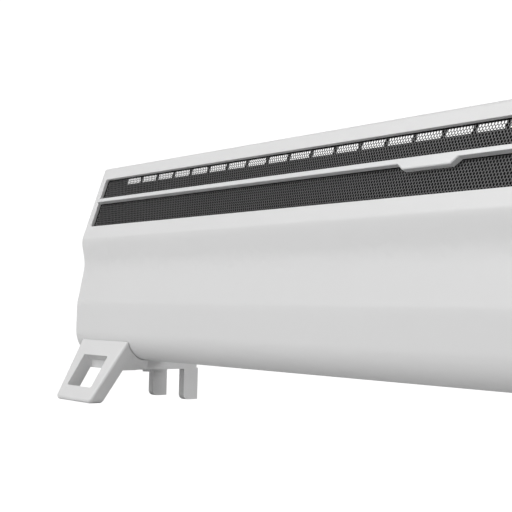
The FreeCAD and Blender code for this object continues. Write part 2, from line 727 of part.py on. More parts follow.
def wires():
    """Leads to the cut-out, along the bottom to the element's far end, and to the board."""
    left_front, _, right_front, right_back = block_poles()
    start_z = BLOCK[2][1] - 7
    hole_y, hole_z = WIRE_HOLE
    lead_y, lead_z = LEAD_HOLE
    cut_x, cut_z = CUTOUT_SPOT[0] + 4.4, CUTOUT_SPOT[1] - 2
    floor_y, floor_z = 19.0, 64.0
    to_cutout = [
        V(*left_front, start_z),
        V(*left_front, 150),
        V(BULKHEAD_X, 30, cut_z),
        V(cut_x + 11.6, 28, cut_z),
        V(cut_x, 32.6, cut_z),
    ]
    to_element = [
        V(*right_front, start_z),
        V(*right_front, 134),
        V(452, 28, 128),
        V(450, 24, 80),
        V(BULKHEAD_X + 4, hole_y, hole_z),
        V(BULKHEAD_X - 6, hole_y, hole_z),
        V(300, floor_y, floor_z),
        V(-440, floor_y, floor_z),
        V(-466, 24, 96),
        V(TUBE_LEFT - 11, ELEMENT_Y, ELEMENT_Z - 4),
    ]
    to_board = [
        V(*right_back, start_z),
        V(*right_back, 126),
        V(464, 44, 122),
        V(464, lead_y, lead_z),
        V(BOARD_X - 0.2, lead_y, lead_z),
    ]
    return [cable(points, WIRE_R) for points in (to_cutout, to_element, to_board)]


def cord_gland():
    """Flanged bush in the rear panel with a tapered sleeve round the cord."""
    flange_r, flange_thick, sleeve_long = 10.0, 3.0, 12.0
    flange = rod(flange_r, (GLAND_X, BODY_DEPTH, GLAND_Z), (0, 1, 0), flange_thick)
    neck = rod(GLAND_HOLE_R - 0.1, (GLAND_X, REAR_FRONT - 5, GLAND_Z), (0, 1, 0), 9)
    sleeve_start = V(GLAND_X, BODY_DEPTH + flange_thick, GLAND_Z)
    sleeve = Part.makeCone(6, 4.2, sleeve_long, sleeve_start, V(0, 1, 0))
    bore = rod(CORD_R + RUN_CLEAR, (GLAND_X, REAR_FRONT - 10, GLAND_Z), (0, 1, 0), 40)
    return flange.multiFuse([neck, sleeve]).cut(bore)


def plug_axis():
    return COIL_START + COIL_WIDTH - 2 * CORD_R, COIL_Z + COIL_R


def stadium(half, radius, start, length):
    """A solid of racetrack outline in the X-Z plane, centred on the coil."""
    ends = [rod(radius, (COIL_X + s * half, start, COIL_Z), (0, 1, 0), length) for s in (-1, 1)]
    span_z = (COIL_Z - radius, COIL_Z + radius)
    middle = box((COIL_X - half, COIL_X + half), (start, start + length), span_z)
    return middle.multiFuse(ends)


def power_cord():
    """Cord wound into a flat racetrack bundle, with one run to the gland and one to the plug."""
    bundle = stadium(COIL_HALF, COIL_R + CORD_R, COIL_START, COIL_WIDTH)
    bundle = bundle.cut(stadium(COIL_HALF, COIL_R - CORD_R, COIL_START - 1, COIL_WIDTH + 2))
    lead_y = COIL_START + COIL_WIDTH / 2
    lead = [
        V(GLAND_X, REAR_FRONT - 5, GLAND_Z),
        V(GLAND_X, lead_y, GLAND_Z),
        V(COIL_X + COIL_HALF, lead_y, GLAND_Z),
    ]
    y, z = plug_axis()
    tail = rod(CORD_R, (COIL_X - COIL_HALF, y, z), (-1, 0, 0), COIL_X - COIL_HALF - PLUG_START + 8)
    return bundle.multiFuse([cable(lead, CORD_R), tail])


def cord_tie():
    """Strap round the upper run of the bundle."""
    low, high = COIL_START, COIL_START + COIL_WIDTH
    z = COIL_Z + COIL_R
    half, wall = 4.0, 1.0
    near = CAP_GAP
    far = CAP_GAP + wall
    outer_z = (z - CORD_R - far, z + CORD_R + far)
    outer = box((COIL_X - half, COIL_X + half), (low - far, high + far), outer_z)
    inner_z = (z - CORD_R - near, z + CORD_R + near)
    inner = box((COIL_X - half - 1, COIL_X + half + 1), (low - near, high + near), inner_z)
    return outer.cut(inner)


def plug_body():
    """Two-pin plug: neck, widening grip and round face, lying along X."""
    y, z = plug_axis()
    neck_r, waist_r = 5.0, 9.0
    neck_end = PLUG_START - PLUG_NECK
    grip_end = neck_end - PLUG_GRIP
    neck = Part.makeCone(neck_r, waist_r, PLUG_NECK, V(PLUG_START, y, z), V(-1, 0, 0))
    grip = Part.makeCone(waist_r, PLUG_R, PLUG_GRIP, V(neck_end, y, z), V(-1, 0, 0))
    disc = rod(PLUG_R, (grip_end, y, z), (-1, 0, 0), PLUG_DISC)
    bores = [rod(PIN_R, (grip_end - 4, y, pin_z), (-1, 0, 0), PLUG_DISC) for pin_z in pin_heights()]
    bores.append(rod(CORD_R + RUN_CLEAR, (PLUG_START + 1, y, z), (-1, 0, 0), 10))
    return neck.multiFuse([grip, disc]).cut(Part.makeCompound(bores))


def pin_heights():
    z = plug_axis()[1]
    return [z - PIN_SPACING / 2, z + PIN_SPACING / 2]


def plug_pins():
    y = plug_axis()[0]
    start = PLUG_START - PLUG_NECK - PLUG_GRIP - 4
    return [rod(PIN_R, (start, y, pin_z), (-1, 0, 0), PIN_LONG) for pin_z in pin_heights()]


def leg_lean():
    """Unit vector down the leg's front face, in the Y-Z plane."""
    return V(0, -TOE_REACH, -LEG_TOP).normalize()


def leg():
    """Leaning plate that narrows to the toe, with a block behind it that hugs the body's belly.

    The rounding of its front edges runs on round the toe, so the toe ends about 2 mm short of
    TOE_REACH.
    """
    lean = leg_lean()
    back = V(0, -lean.z, lean.y) * LEG_THICK
    toe_back = -TOE_REACH + LEG_THICK / abs(lean.z)
    under = back.y + lean.y / lean.z * (BAR_LOW - LEG_TOP - back.z)
    side = [
        (0.0, LEG_TOP),
        (-TOE_REACH, 0.0),
        (toe_back, 0.0),
        (under, BAR_LOW),
        (BELLY_RADIUS / 2, BAR_LOW),
        (BELLY_RADIUS, BAR_LOW + 2),
        (BELLY_RADIUS, LEG_TOP),
    ]
    taper = [(-LEG_HALF, LEG_TOP), (LEG_HALF, LEG_TOP), (TOE_HALF, 0.0), (-TOE_HALF, 0.0)]
    plate = prism(side, "X", -LEG_HALF, 2 * LEG_HALF)
    plate = plate.common(prism(taper, "Y", -TOE_REACH - 1, 2 * TOE_REACH))
    plate = plate.makeFillet(TOE_RADIUS, [e for e in plate.Edges if is_toe_corner(e)])
    return plate.makeFillet(LEG_RADIUS, [e for e in plate.Edges if is_leg_front_edge(e)])


def is_toe_corner(edge):
    """Front-to-back edge at the floor, at either end of the toe."""
    middle = edge.CenterOfMass
    along_depth = abs(edge.tangentAt(edge.FirstParameter).y) > 0.9
    return along_depth and middle.z < 0.1 and abs(middle.x) > TOE_HALF - 1


def is_leg_front_edge(edge):
    """Long leaning edge down either side of the leg's front face."""
    bounds = edge.BoundBox
    return bounds.ZLength > LEG_TOP / 2 and bounds.YMin < 5 - TOE_REACH and bounds.YMax < 1


def heel_tab(sign):
    """Flat tab down to the floor under one edge of the bar, rounded at its front lower corner."""
    xs = sorted((sign * BAR_HALF, sign * (BAR_HALF - TAB_THICK)))
    front = HEEL_REACH - TAB_DEPTH
    tab = box(xs, (front, HEEL_REACH), (0, BAR_LOW + 1))
    low_front = [e for e in tab.Edges if e.CenterOfMass.z < 0.1 and e.CenterOfMass.y < front + 0.1]
    return tab.makeFillet(TAB_RADIUS, low_front)


def foot():
    """Right-hand foot about x=0: loop leg in front, bar under the body, two tabs at the heel."""
    seat_gap = 0.15
    bar = box((-BAR_HALF, BAR_HALF), (0, HEEL_REACH), (BAR_LOW, BODY_BOTTOM - seat_gap))
    rim = [e for e in bar.Edges if abs(e.tangentAt(e.FirstParameter).z) > 0.9 and e.CenterOfMass.y > 50]
    bar = bar.makeFillet(BAR_RADIUS, rim).cut(body_prism(-seat_gap, -HALF, HALF))
    front = leg().cut(body_prism(-LEG_GAP, -HALF, HALF))
    return front.multiFuse([bar, heel_tab(-1), heel_tab(1)]).cut(loop_hole())


def loop_hole():
    """Rounded rectangular opening through the leg, square to its front face."""
    lean = leg_lean()
    tall = math.hypot(TOE_REACH, LEG_TOP) / 2 - LOOP_STRIP
    block = box((-LOOP_HALF, LOOP_HALF), (-12, 3 * LEG_THICK), (-tall, tall))
    upright = [e for e in block.Edges if abs(e.tangentAt(e.FirstParameter).y) > 0.9]
    block = block.makeFillet(LOOP_RADIUS, upright)
    tilt = math.degrees(math.atan2(-lean.y, -lean.z))
    middle = V(0, -TOE_REACH / 2, LEG_TOP / 2)
    block.Placement = FreeCAD.Placement(middle, FreeCAD.Rotation(V(1, 0, 0), -tilt))
    return block.common(box((-LEG_HALF, LEG_HALF), (-TOE_REACH - 5, 0.0), (0, LEG_TOP)))


def placed_foot(side):
    shape = foot()
    shape.translate(V(FOOT_CENTRE, 0, 0))
    return mirrored(shape) if side < 0 else shape


def pad_places():
    """Depth and X spans of the toe pad and the two heel pads of each foot."""
    places = []
    half_toe, half_heel = 26.0, 3.0
    for centre in (-FOOT_CENTRE, FOOT_CENTRE):
        places.append(((centre - half_toe, centre + half_toe), (6 - TOE_REACH, 13 - TOE_REACH)))
        for sign in (-1, 1):
            x = centre + sign * (BAR_HALF - TAB_THICK / 2)
            places.append(((x - half_heel, x + half_heel), (HEEL_REACH - 12, HEEL_REACH - 2)))
    return places


def foot_pads(grow=0.0):
    """Rubber pads let into the soles, or with grow their slightly larger pockets."""
    pads = []
    for xs, ys in pad_places():
        spans = [(xs[0] - grow, xs[1] + grow), (ys[0] - grow, ys[1] + grow)]
        pads.append(box(*spans, (0, PAD_THICK + grow)))
    return pads


def foot_screws():
    """Socket screws up through the bar into the body's floor."""
    head_r, head_high, socket_r, socket_deep = 5.0, 3.0, 2.2, 1.5
    low = BAR_LOW - head_high
    screws = []
    for x, y in foot_screw_spots():
        shank = rod(FOOT_SCREW_R, (x, y, BAR_LOW - 0.5), (0, 0, 1), BODY_BOTTOM - BAR_LOW + 10)
        head = rod(head_r, (x, y, low), (0, 0, 1), head_high)
        socket = rod(socket_r, (x, y, low - 0.5), (0, 0, 1), socket_deep + 0.5)
        screws.append(shank.fuse(head).cut(socket))
    return screws


def small_screw(spot, way):
    """Slotted pan-head screw entering along way, its head resting at spot."""
    length, shank_r, head_r, head_high, slot = 8.0, 1.45, 3.2, 1.8, 0.8
    shank = Part.makeCylinder(shank_r, length, spot - way * 0.5, way)
    head = Part.makeCylinder(head_r, head_high, spot, way * -1)
    groove = Part.makeBox(5, slot, slot)
    groove.translate(spot - way * head_high - V(2.5, slot / 2, slot / 2))
    return shank.fuse(head).cut(groove)


def rear_panel_screws():
    return [small_screw(V(x, BODY_DEPTH, z), V(0, -1, 0)) for x, z in rear_screw_spots()]


def end_cap_screws():
    x, y = END_SCREW
    return [small_screw(V(side * x, y, BODY_BOTTOM), V(0, 0, 1)) for side in (-1, 1)]


def make_casing():
    save("front_panel", front_panel())
    save("rear_panel", rear_panel())
    save("left_end_cap", end_cap(-1))
    save("right_end_cap", end_cap(1))
    save("outlet_grille", outlet_grille())
    save("grille_retainers", *grille_retainers())
    save("trim_bar", trim_bar())
    save("trim_clips", *trim_clips())
    save("inlet_guard", inlet_guard())
    save("rear_panel_screws", *rear_panel_screws())
    save("end_cap_screws", *end_cap_screws())


def element_tube():
    return rod(TUBE_R, (TUBE_LEFT, ELEMENT_Y, ELEMENT_Z), (1, 0, 0), TUBE_RIGHT - TUBE_LEFT)


def make_heating():
    save("element_tube", element_tube())
    save("element_fins", *element_fins())
    save("element_bracket_left", element_bracket(BRACKET_XS[0]))
    save("element_bracket_right", element_bracket(BRACKET_XS[1]))
    save("element_insulators", *element_insulators())
    save("element_terminals", *element_terminals())
    save("heat_shield", heat_shield())
    save("shield_standoffs", *shield_standoffs())
    save("front_baffle", front_baffle())
    save("thermal_cutout", thermal_cutout())
    save("bulkhead", bulkhead())


def make_controls():
    save("control_housing", control_housing())
    save("control_board", control_board())
    save("board_components", *board_components())
    save("control_fascia", control_fascia())
    save("display_window", display_window())
    save("display_module", display_module())
    save("button_board", button_board())
    save("tact_switches", *tact_switches())
    for name, (y, z) in BUTTONS.items():
        save(name, push_button(y, z))
    save("rocker_body", rocker_housing())
    save("rocker", rocker())
    save("tip_over_case", tip_over_case())
    save("tip_over_pendulum", tip_over_pendulum())
    save("tip_over_pin", tip_over_pin())
    save("room_sensor", room_sensor())
    save("terminal_block", terminal_block())
    save("wire_harness", *wires())


def make_cord():
    save("cord_gland", cord_gland())
    save("power_cord", power_cord())
    save("cord_tie", cord_tie())
    save("plug_body", plug_body())
    save("plug_pins", *plug_pins())


def make_feet():
    pockets = Part.makeCompound(foot_pads(0.05))
    holes = [rod(FOOT_HOLE_R, (x, y, BAR_LOW - 1), (0, 0, 1), 20) for x, y in foot_screw_spots()]
    cuts = Part.makeCompound(pockets.Solids + holes)
    save("left_foot", placed_foot(-1).cut(cuts))
    save("right_foot", placed_foot(1).cut(cuts))
    save("foot_pads", *foot_pads())
    save("foot_screws", *foot_screws())


os.makedirs("parts", exist_ok=True)
make_casing()
make_heating()
make_controls()
make_cord()
make_feet()
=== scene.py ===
import bpy
import math
from mathutils import Matrix, Vector


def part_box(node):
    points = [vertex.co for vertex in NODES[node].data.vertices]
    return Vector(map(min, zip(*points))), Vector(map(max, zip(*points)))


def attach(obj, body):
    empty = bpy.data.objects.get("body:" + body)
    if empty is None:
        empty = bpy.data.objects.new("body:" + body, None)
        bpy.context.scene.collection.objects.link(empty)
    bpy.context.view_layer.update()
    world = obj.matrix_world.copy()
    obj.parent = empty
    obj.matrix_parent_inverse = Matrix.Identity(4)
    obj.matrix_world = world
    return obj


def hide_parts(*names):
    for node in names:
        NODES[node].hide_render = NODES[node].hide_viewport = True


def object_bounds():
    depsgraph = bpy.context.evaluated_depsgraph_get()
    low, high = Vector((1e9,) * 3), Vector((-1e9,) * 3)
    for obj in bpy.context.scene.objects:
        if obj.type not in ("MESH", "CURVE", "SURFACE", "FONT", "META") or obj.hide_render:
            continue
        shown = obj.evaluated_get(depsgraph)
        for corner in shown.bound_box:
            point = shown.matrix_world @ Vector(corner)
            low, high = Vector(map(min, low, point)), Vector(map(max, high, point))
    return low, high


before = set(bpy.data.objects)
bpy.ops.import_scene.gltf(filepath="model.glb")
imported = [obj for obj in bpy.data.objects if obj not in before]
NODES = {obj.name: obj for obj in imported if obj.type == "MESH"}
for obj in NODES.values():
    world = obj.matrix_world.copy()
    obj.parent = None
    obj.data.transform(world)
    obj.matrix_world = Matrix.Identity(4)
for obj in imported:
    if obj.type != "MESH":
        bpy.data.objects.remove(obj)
cad_low, cad_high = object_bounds()

# A white plinth convector: CAD shells and controls with rounded edges, plus finer pieces built here,
# the perforated outlet grille, the wound cord, the ribbed plug and the signs on the keys. Metres.

MM = 0.001
FACE_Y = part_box("front_panel")[0].y
FLOOR_Z = cad_low.z

# Inclined outlet window, as the casing has it
TILT = math.radians(18.5)
WINDOW_HALF = 28.5 * MM / math.cos(TILT)
WINDOW_MID_Z = 225.5 * MM
CREASE_Z = 183 * MM
CREASE_DEPTH = 4.6 * MM
WINDOW_MID_Y = FACE_Y + CREASE_DEPTH + (WINDOW_MID_Z - CREASE_Z) * math.tan(TILT)
GRILLE_DEPTH = 4.0 * MM
GRILLE_THICK = 0.3 * MM
GRILLE_MARGIN = 2.5 * MM
TRIM_MID = 1.8 * MM
TRIM_COVER = 4.0 * MM
HOLE_PITCH = 3.03 * MM
HOLE_ROW = 2.85 * MM
HOLE_HALF_WIDE = 1.2 * MM
HOLE_HALF_TALL = 1.32 * MM
HOLE_FLAT = 0.55
SHADOW_BORDER = 1.4 * MM

# Cord and plug
CORD_R = 3.1 * MM
COIL_RADIUS = 30.0 * MM
COIL_HALF = 48.0 * MM
TIE_THICK = 1.1 * MM
TURNS = 4
TURN_POINTS = 40

# White surroundings: brightness to the camera, the world's to other rays, and the floor's reflectance
SEEN_WHITE = 1.1
WORLD_LIGHT = 0.2
FLOOR_ALBEDO = 0.6

# Signs on the keys
MARK_HALF = 0.3 * MM
MARK_SUNK = 0.05 * MM
MARK_PROUD = 0.12 * MM

# Camera of the three-quarter view from low at the left
CAMERA_SPOT = Vector((0.5308, -0.63695, 0.1009))
CAMERA_TURN = math.radians(50.0)
CAMERA_PITCH = math.radians(3.19)
CAMERA_ROLL = math.radians(1.35)
CAMERA_LENS = 71.5


# ---------------------------------------------------------------- node helpers

def new_material(name):
    """An empty node material with its principled shader."""
    material = bpy.data.materials.new(name)
    material.use_nodes = True
    return material, material.node_tree, material.node_tree.nodes["Principled BSDF"]


def add(tree, kind, **values):
    node = tree.nodes.new(kind)
    for key, value in values.items():
        setattr(node, key, value)
    return node


def noise(tree, scale, detail=3.0, stretch=None):
    """Noise measured in metres, so a scale of 1000 gives features near a millimetre."""
    place = add(tree, "ShaderNodeNewGeometry").outputs["Position"]
    if stretch is not None:
        mapping = add(tree, "ShaderNodeMapping")
        mapping.inputs["Scale"].default_value = stretch
        tree.links.new(place, mapping.inputs["Vector"])
        place = mapping.outputs["Vector"]
    node = add(tree, "ShaderNodeTexNoise")
    node.inputs["Scale"].default_value = scale
    node.inputs["Detail"].default_value = detail
    tree.links.new(place, node.inputs["Vector"])
    return node.outputs["Fac"]


def ramp_value(tree, source, low, high):
    """Maps the middle of a noise onto the range from low to high."""
    node = add(tree, "ShaderNodeMapRange")
    node.inputs["From Min"].default_value = 0.3
    node.inputs["From Max"].default_value = 0.7
    node.inputs["To Min"].default_value = low
    node.inputs["To Max"].default_value = high
    tree.links.new(source, node.inputs["Value"])
    return node.outputs["Result"]


def mix_color(tree, factor, first, second):
    node = add(tree, "ShaderNodeMix", data_type="RGBA")
    tree.links.new(factor, node.inputs["Factor"])
    node.inputs["A"].default_value = (*first, 1.0)
    node.inputs["B"].default_value = (*second, 1.0)
    return node.outputs["Result"]


def set_bump(tree, shader, source, depth, strength=1.0):
    node = add(tree, "ShaderNodeBump")
    node.inputs["Distance"].default_value = depth
    node.inputs["Strength"].default_value = strength
    tree.links.new(source, node.inputs["Height"])
    tree.links.new(node.outputs["Normal"], shader.inputs["Normal"])


def shade(color, factor):
    return tuple(min(1.0, c * factor) for c in color)


def textured(name, color, rough, grain, depth, metallic=0.0, variation=0.04, stretch=None, coat=0.0,
             shine=0.5):
    """Coated, moulded or bare surface: fine grain in the bump, slow drift in colour and roughness."""
    material, tree, shader = new_material(name)
    drift = noise(tree, 14.0, 4.0)
    tint = mix_color(tree, drift, shade(color, 1 - variation), shade(color, 1 + variation))
    tree.links.new(tint, shader.inputs["Base Color"])
    fine = noise(tree, grain, 3.0, stretch)
    tree.links.new(ramp_value(tree, fine, rough - 0.05, rough + 0.07), shader.inputs["Roughness"])
    shader.inputs["Metallic"].default_value = metallic
    shader.inputs["Coat Weight"].default_value = coat
    shader.inputs["Specular IOR Level"].default_value = shine
    shader.inputs["Coat Roughness"].default_value = 0.25
    set_bump(tree, shader, fine, depth)
    return material


# ---------------------------------------------------------------- materials

# Near-black of the dark metal, also used as painted shade on the shell faces inside the chamber
CHAMBER_SHADE_AND_DARK_METAL = (0.006, 0.006, 0.006)


def past(tree, output, axis, limit, above):
    """One where the surface's position or normal is past a limit along one axis, else nothing."""
    split = add(tree, "ShaderNodeSeparateXYZ")
    tree.links.new(add(tree, "ShaderNodeNewGeometry").outputs[output], split.inputs["Vector"])
    test = add(tree, "ShaderNodeMath", operation="GREATER_THAN" if above else "LESS_THAN")
    tree.links.new(split.outputs[axis], test.inputs[0])
    test.inputs[1].default_value = limit
    return test.outputs["Value"]


def combined(tree, operation, first, second):
    node = add(tree, "ShaderNodeMath", operation=operation)
    tree.links.new(first, node.inputs[0])
    tree.links.new(second, node.inputs[1])
    return node.outputs["Value"]


def paint_chamber_shade(material, mask):
    """Paints the part of a shell that the mask picks out matt black, as painted shade standing in for the
    dark chamber.
    """
    tree = material.node_tree
    shader = tree.nodes["Principled BSDF"]
    for name, inside in (("Base Color", (*CHAMBER_SHADE_AND_DARK_METAL, 1.0)), ("Roughness", (0.8, 0.8, 0.8, 1.0))):
        mix = add(tree, "ShaderNodeMix", data_type="RGBA")
        tree.links.new(mask, mix.inputs["Factor"])
        tree.links.new(shader.inputs[name].links[0].from_socket, mix.inputs["A"])
        mix.inputs["B"].default_value = inside
        tree.links.new(mix.outputs["Result"], shader.inputs[name])
    return material


def front_coat():
    """White powder coat outside, with painted shade: black on the faces that look into the chamber."""
    material = textured("white_coat", (0.80, 0.80, 0.80), 0.42, 1100.0, 0.00003, variation=0.012)
    tree = material.node_tree
    under_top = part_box("front_panel")[1].z - 6 * MM
    downward = past(tree, "Normal", "Z", -0.7, False)
    roof = combined(tree, "MULTIPLY", downward, past(tree, "Position", "Z", under_top, True))
    backward = past(tree, "Normal", "Y", 0.25, True)
    return paint_chamber_shade(material, combined(tree, "MAXIMUM", roof, backward))


def rear_coat():
    material = textured("rear_coat", (0.62, 0.62, 0.63), 0.45, 900.0, 0.00004)
    inner_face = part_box("rear_panel")[0].y + 0.3 * MM
    # Painted shade: the panel's inner face, looking into the chamber, is painted black
    return paint_chamber_shade(material, past(material.node_tree, "Position", "Y", inner_face, False))


def cap_plastic_painted_shade():
    """The end caps' white plastic, with painted shade: black behind the plate."""
    material = textured("cap_plastic_painted_shade", (0.80, 0.80, 0.80), 0.38, 2400.0, 0.00003, variation=0.015)
    tree = material.node_tree
    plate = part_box("right_end_cap")[1].x - 1.5 * MM
    right_of = past(tree, "Position", "X", -plate, True)
    left_of = past(tree, "Position", "X", plate, False)
    return paint_chamber_shade(material, combined(tree, "MULTIPLY", right_of, left_of))


def zinc_metal():
    """Zinc plate with its patchwork of crystals."""
    material, tree, shader = new_material("zinc_metal")
    place = add(tree, "ShaderNodeNewGeometry").outputs["Position"]
    cells = add(tree, "ShaderNodeTexVoronoi")
    cells.inputs["Scale"].default_value = 220.0
    tree.links.new(place, cells.inputs["Vector"])
    tint = mix_color(tree, cells.outputs["Color"], (0.42, 0.43, 0.44), (0.7, 0.71, 0.72))
    tree.links.new(tint, shader.inputs["Base Color"])
    tree.links.new(ramp_value(tree, cells.outputs["Color"], 0.3, 0.5), shader.inputs["Roughness"])
    shader.inputs["Metallic"].default_value = 1.0
    set_bump(tree, shader, noise(tree, 1500.0), 0.00002)
    return material


def circuit_board():
    """Solder mask over tracks, drawn as stepped cells."""
    material, tree, shader = new_material("circuit_board")
    place = add(tree, "ShaderNodeNewGeometry").outputs["Position"]
    turn = add(tree, "ShaderNodeMapping")
    turn.inputs["Rotation"].default_value = (0, math.pi / 2, 0)
    tree.links.new(place, turn.inputs["Vector"])
    tracks = add(tree, "ShaderNodeTexBrick")
    tracks.inputs["Scale"].default_value = 160.0
    tracks.inputs["Color1"].default_value = (0.02, 0.16, 0.06, 1)
    tracks.inputs["Color2"].default_value = (0.04, 0.24, 0.1, 1)
    tracks.inputs["Mortar"].default_value = (0.08, 0.36, 0.17, 1)
    tree.links.new(turn.outputs["Vector"], tracks.inputs["Vector"])
    tree.links.new(tracks.outputs["Color"], shader.inputs["Base Color"])
    tree.links.new(ramp_value(tree, noise(tree, 600.0), 0.28, 0.42), shader.inputs["Roughness"])
    set_bump(tree, shader, tracks.outputs["Fac"], 0.00005)
    return material


MATERIALS = {
    "white_coat": front_coat(),
    "rear_coat": rear_coat(),
    "white_plastic": textured("white_plastic", (0.80, 0.80, 0.80), 0.38, 2400.0, 0.00003, variation=0.015),
    "trim_plastic": textured("trim_plastic", (0.8, 0.805, 0.81), 0.3, 2000.0, 0.00001, variation=0.02),
    "cap_plastic_painted_shade": cap_plastic_painted_shade(),
    "grille_metal": textured("grille_metal", (0.1, 0.1, 0.101), 0.42, 2600.0, 0.00002, variation=0.1),
    "dark_metal": textured(
        "dark_metal", CHAMBER_SHADE_AND_DARK_METAL, 0.7, 1400.0, 0.00003, variation=0.2, shine=0.12
    ),
    "zinc_metal": zinc_metal(),
    "element_metal": textured(
        "element_metal", (0.7, 0.7, 0.71), 0.35, 900.0, 0.00002, 1.0, 0.08, (1.0, 1.0, 0.06)
    ),
    "screw_steel": textured("screw_steel", (0.62, 0.62, 0.63), 0.3, 3000.0, 0.00001, 1.0, 0.1),
    "brass_contact": textured("brass_contact", (0.72, 0.6, 0.35), 0.26, 2400.0, 0.00001, 1.0, 0.08),
    "ceramic": textured("ceramic", (0.82, 0.8, 0.74), 0.55, 1800.0, 0.00004, variation=0.06),
    "dark_plastic": textured("dark_plastic", (0.035, 0.035, 0.038), 0.48, 2600.0, 0.00003, variation=0.1),
    "control_plastic": textured(
        "control_plastic", (0.07, 0.07, 0.075), 0.4, 2600.0, 0.00002, variation=0.08
    ),
    "button_plastic": textured("button_plastic", (0.55, 0.56, 0.58), 0.36, 2400.0, 0.00002, variation=0.03),
    "display_glass": textured("display_glass", (0.012, 0.014, 0.016), 0.1, 2200.0, 0.000004, coat=1.0),
    "circuit_board": circuit_board(),
    "wire_rubber": textured("wire_rubber", (0.28, 0.06, 0.045), 0.5, 1600.0, 0.00003, variation=0.1),
    "cord_rubber": textured("cord_rubber", (0.74, 0.74, 0.72), 0.5, 1600.0, 0.00004, variation=0.03),
    "pad_rubber": textured("pad_rubber", (0.05, 0.05, 0.05), 0.7, 1900.0, 0.00006, variation=0.15),
}


# ---------------------------------------------------------------- CAD shells: materials and soft edges

EDGE_WIDTHS = {
    "front_panel": 0.45,
    "left_end_cap": 0.5,
    "right_end_cap": 0.5,
    "trim_bar": 0.35,
    "left_foot": 0.9,
    "right_foot": 0.9,
    "foot_pads": 0.3,
    "control_fascia": 0.3,
    "cord_gland": 0.5,
    "cord_tie": 0.3,
    "rocker_body": 0.4,
    "rocker": 0.5,
}


def soften(node, width):
    """Welds the shell and rounds its sharp edges by width millimetres, with face-weighted normals."""
    weld = node.modifiers.new("weld", "WELD")
    weld.merge_threshold = 0.001 * MM
    bevel = node.modifiers.new("round_edges", "BEVEL")
    bevel.width = width * MM
    bevel.segments = 3
    bevel.limit_method = "ANGLE"
    bevel.angle_limit = math.radians(35)
    bevel.use_clamp_overlap = True
    bevel.harden_normals = False
    weighted = node.modifiers.new("even_normals", "WEIGHTED_NORMAL")
    weighted.weight = 100
    weighted.keep_sharp = False


def drop_custom_normals(node):
    """Lets the rounded edges take their own normals."""
    for name in ("custom_normal", "sharp_edge", "sharp_face"):
        layer = node.data.attributes.get(name)
        if layer is not None:
            node.data.attributes.remove(layer)


def dress_cad_nodes():
    for name, node in NODES.items():
        for slot in node.material_slots:
            finish = slot.material.name.split(".")[0]
            slot.material = MATERIALS["cap_plastic_painted_shade" if name.endswith("end_cap") else finish]
        width = EDGE_WIDTHS.get(name)
        if width:
            drop_custom_normals(node)
            soften(node, width)


# ---------------------------------------------------------------- new pieces

def mesh_object(name, vertices, faces, material, smooth=False):
    mesh = bpy.data.meshes.new(name)
    mesh.from_pydata(vertices, [], faces)
    mesh.validate()
    mesh.update()
    if smooth:
        mesh.shade_smooth()
    made = bpy.data.objects.new(name, mesh)
    bpy.context.scene.collection.objects.link(made)
    mesh.materials.append(MATERIALS[material])
    return made


def on_slope(along, up, depth):
    """A point of the inclined window: along the heater, up the face and into the body."""
    y = WINDOW_MID_Y + up * math.sin(TILT) + depth * math.cos(TILT)
    z = WINDOW_MID_Z + up * math.cos(TILT) - depth * math.sin(TILT)
    return (along, y, z)


def ring_of_eight(x, y, wide, tall, flat):
    """Corners and mid-sides round a centre; flat is how much of the width the ends keep."""
    signs = ((-flat, -1), (0, -1), (flat, -1), (1, 0), (flat, 1), (0, 1), (-flat, 1), (-1, 0))
    return [(x + across * wide, y + up * tall) for across, up in signs]


